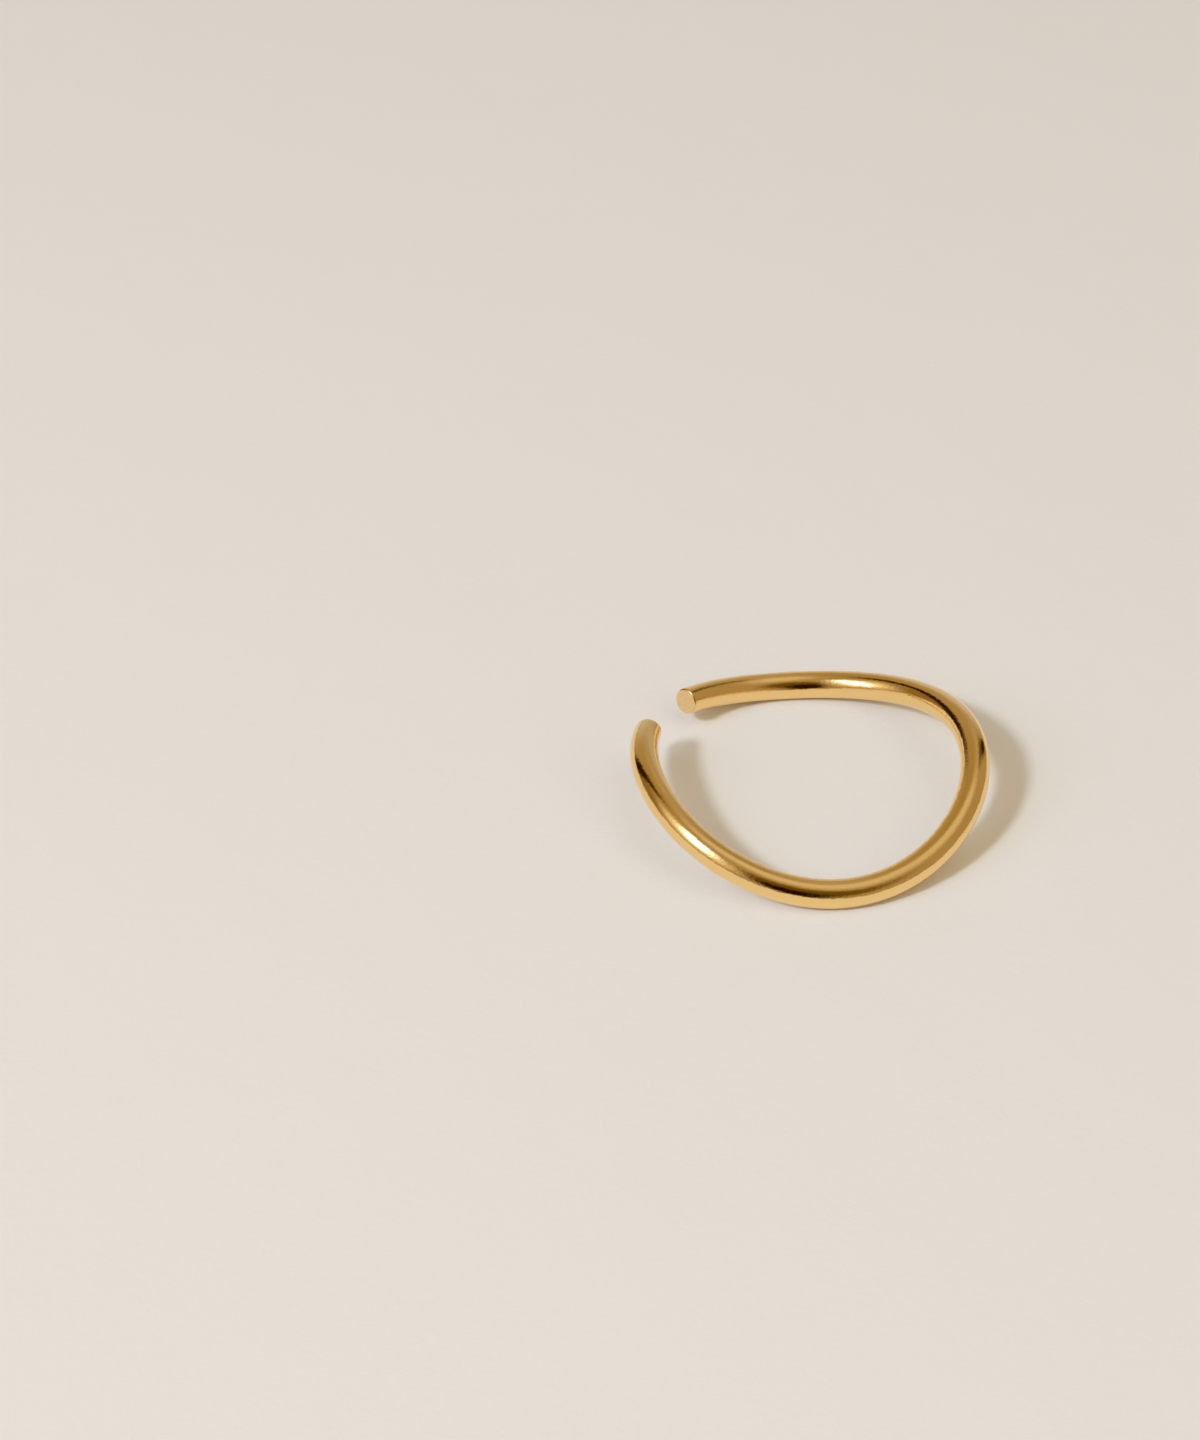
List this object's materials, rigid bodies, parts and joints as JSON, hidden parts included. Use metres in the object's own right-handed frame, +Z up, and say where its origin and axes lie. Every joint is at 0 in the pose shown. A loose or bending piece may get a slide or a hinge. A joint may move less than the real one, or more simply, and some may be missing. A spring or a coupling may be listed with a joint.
{
  "type": "ear cuff",
  "caption": "Open ring of round polished gold-coloured wire that waves up and down, with two square-cut ends and a gap that slips over the edge of the ear.",
  "frame": {"origin": "middle of the bounding box, at the level of the surface that the cuff lies on", "axes": "+Z up, +X away from the gap between the cut ends, +Y towards the back of the cuff as the picture shows it"},
  "size_m": [0.0248, 0.0252, 0.0051],
  "materials": {
    "gold_plate": "polished gold plate with a faint satin grain"
  },
  "bodies": {
    "root": {"cuff_wire": "gold_plate"}
  },
  "joints": []
}
